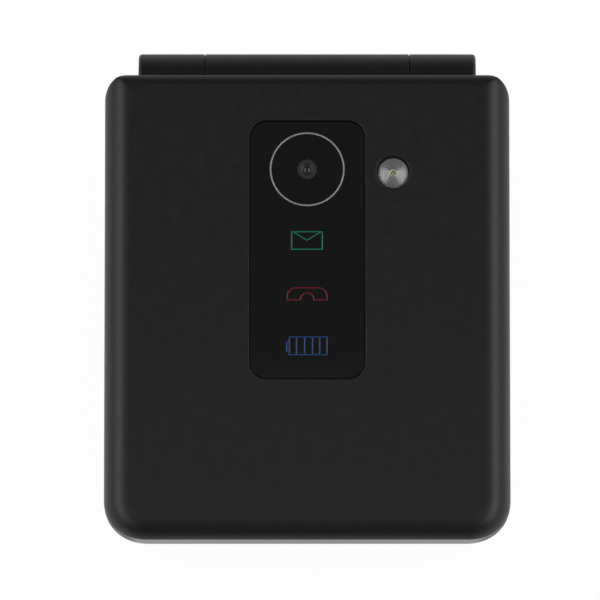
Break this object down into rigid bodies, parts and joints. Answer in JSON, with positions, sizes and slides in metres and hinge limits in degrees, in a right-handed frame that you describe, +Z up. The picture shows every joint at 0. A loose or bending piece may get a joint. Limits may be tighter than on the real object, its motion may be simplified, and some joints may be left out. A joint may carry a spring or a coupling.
{
  "type": "flip phone",
  "caption": "Clamshell phone with a camera, torch and window panel on its lid, a barrel hinge, inner display and keypad.",
  "frame": {"origin": "middle of the closed phone's footprint, on the surface it lies on", "axes": "+X to the right and +Y towards the hinge seen on the lid, +Z up out of the lid"},
  "size_m": [0.062, 0.076, 0.0194],
  "materials": {
    "soft_touch": "soft-touch black",
    "smoked_gloss": "smoked gloss",
    "ring_metal": "satin grey",
    "dark_glass": "coated lens",
    "black_plastic": "fine matte",
    "clear_glass": "clear",
    "chrome_cup": "bright",
    "led_yellow": "phosphor",
    "light_guide": "clear",
    "board": "solder mask",
    "display_metal": "pressed",
    "display_glass": "dark, glossy",
    "mesh_metal": "fine mesh",
    "bumper_rubber": "matt",
    "screw_steel": "dark zinc",
    "hinge_steel": "ground",
    "flex_amber": "polyimide",
    "battery_wrap": "printed film",
    "contact_gold": "plated",
    "dome_film": "film",
    "key_plastic": "satin",
    "nav_metal": "satin"
  },
  "bodies": {
    "base": {"keypad_frame": "soft_touch", "rear_shell": "soft_touch", "battery_cover": "soft_touch", "battery": "battery_wrap", "battery_contacts": "contact_gold", "main_board": "board", "board_shields": "display_metal", "sim_holder": "mesh_metal", "dome_sheet": "dome_film", "loudspeaker": "black_plastic", "vibration_motor": "display_metal", "microphone": "contact_gold", "usb_port": "mesh_metal", "headphone_jack": "black_plastic", "side_switches": "mesh_metal", "antenna": "black_plastic", "base_screws": "screw_steel", "hinge_cam": "hinge_steel"},
    "lid": {"lid_shell": "soft_touch", "lid_window": "smoked_gloss", "camera_ring": "ring_metal", "camera_lens": "dark_glass", "camera_module": "black_plastic", "torch_lens": "clear_glass", "torch_reflector": "chrome_cup", "lid_leds": "led_yellow", "icon_light_guide": "light_guide", "lid_board": "board", "display_module": "display_metal", "display_window": "display_glass", "lid_frame": "black_plastic", "earpiece": "display_metal", "earpiece_mesh": "mesh_metal", "lid_bumpers": "bumper_rubber", "lid_screws": "screw_steel", "lid_magnet": "screw_steel", "hinge_can": "hinge_steel", "hinge_spring": "hinge_steel", "hinge_follower": "hinge_steel", "hinge_sleeve": "hinge_steel", "hinge_flex": "flex_amber"},
    "key_1": {"key_1": "key_plastic"},
    "key_2": {"key_2": "key_plastic"},
    "key_3": {"key_3": "key_plastic"},
    "key_4": {"key_4": "key_plastic"},
    "key_5": {"key_5": "key_plastic"},
    "key_6": {"key_6": "key_plastic"},
    "key_7": {"key_7": "key_plastic"},
    "key_8": {"key_8": "key_plastic"},
    "key_9": {"key_9": "key_plastic"},
    "key_star": {"key_star": "key_plastic"},
    "key_0": {"key_0": "key_plastic"},
    "key_hash": {"key_hash": "key_plastic"},
    "soft_key_left": {"soft_key_left": "key_plastic"},
    "soft_key_right": {"soft_key_right": "key_plastic"},
    "call_key": {"call_key": "key_plastic"},
    "end_key": {"end_key": "key_plastic"},
    "ok_key": {"ok_key": "key_plastic"},
    "nav_ring": {"nav_ring": "nav_metal"},
    "volume_key": {"volume_key": "key_plastic"}
  },
  "joints": [
    {"name": "lid_hinge", "type": "hinge", "parent": "base", "child": "lid", "pos_m": [0, 0.03345, 0.0111], "axis": [-1, 0, 0], "range_deg": [0, 155]},
    {"name": "key_1_press", "type": "slide", "parent": "base", "child": "key_1", "axis": [0, 0, -1], "range_m": [0, 0.00035], "stiffness_N_per_m": 400},
    {"name": "key_2_press", "type": "slide", "parent": "base", "child": "key_2", "axis": [0, 0, -1], "range_m": [0, 0.00035], "stiffness_N_per_m": 400},
    {"name": "key_3_press", "type": "slide", "parent": "base", "child": "key_3", "axis": [0, 0, -1], "range_m": [0, 0.00035], "stiffness_N_per_m": 400},
    {"name": "key_4_press", "type": "slide", "parent": "base", "child": "key_4", "axis": [0, 0, -1], "range_m": [0, 0.00035], "stiffness_N_per_m": 400},
    {"name": "key_5_press", "type": "slide", "parent": "base", "child": "key_5", "axis": [0, 0, -1], "range_m": [0, 0.00035], "stiffness_N_per_m": 400},
    {"name": "key_6_press", "type": "slide", "parent": "base", "child": "key_6", "axis": [0, 0, -1], "range_m": [0, 0.00035], "stiffness_N_per_m": 400},
    {"name": "key_7_press", "type": "slide", "parent": "base", "child": "key_7", "axis": [0, 0, -1], "range_m": [0, 0.00035], "stiffness_N_per_m": 400},
    {"name": "key_8_press", "type": "slide", "parent": "base", "child": "key_8", "axis": [0, 0, -1], "range_m": [0, 0.00035], "stiffness_N_per_m": 400},
    {"name": "key_9_press", "type": "slide", "parent": "base", "child": "key_9", "axis": [0, 0, -1], "range_m": [0, 0.00035], "stiffness_N_per_m": 400},
    {"name": "key_star_press", "type": "slide", "parent": "base", "child": "key_star", "axis": [0, 0, -1], "range_m": [0, 0.00035], "stiffness_N_per_m": 400},
    {"name": "key_0_press", "type": "slide", "parent": "base", "child": "key_0", "axis": [0, 0, -1], "range_m": [0, 0.00035], "stiffness_N_per_m": 400},
    {"name": "key_hash_press", "type": "slide", "parent": "base", "child": "key_hash", "axis": [0, 0, -1], "range_m": [0, 0.00035], "stiffness_N_per_m": 400},
    {"name": "soft_key_left_press", "type": "slide", "parent": "base", "child": "soft_key_left", "axis": [0, 0, -1], "range_m": [0, 0.00035], "stiffness_N_per_m": 400},
    {"name": "soft_key_right_press", "type": "slide", "parent": "base", "child": "soft_key_right", "axis": [0, 0, -1], "range_m": [0, 0.00035], "stiffness_N_per_m": 400},
    {"name": "call_key_press", "type": "slide", "parent": "base", "child": "call_key", "axis": [0, 0, -1], "range_m": [0, 0.00035], "stiffness_N_per_m": 400},
    {"name": "end_key_press", "type": "slide", "parent": "base", "child": "end_key", "axis": [0, 0, -1], "range_m": [0, 0.00035], "stiffness_N_per_m": 400},
    {"name": "ok_key_press", "type": "slide", "parent": "base", "child": "ok_key", "axis": [0, 0, -1], "range_m": [0, 0.00035], "stiffness_N_per_m": 400},
    {"name": "nav_tilt", "type": "hinge", "parent": "base", "child": "nav_ring", "pos_m": [0, 0.0171, 0.0099], "axis": [1, 0, 0], "range_deg": [-1.5, 1.5], "stiffness_Nm_per_rad": 0.03},
    {"name": "volume_rock", "type": "hinge", "parent": "base", "child": "volume_key", "pos_m": [-0.02945, 0.01, 0.00875], "axis": [0, 0, 1], "range_deg": [-2, 2], "stiffness_Nm_per_rad": 0.03}
  ]
}
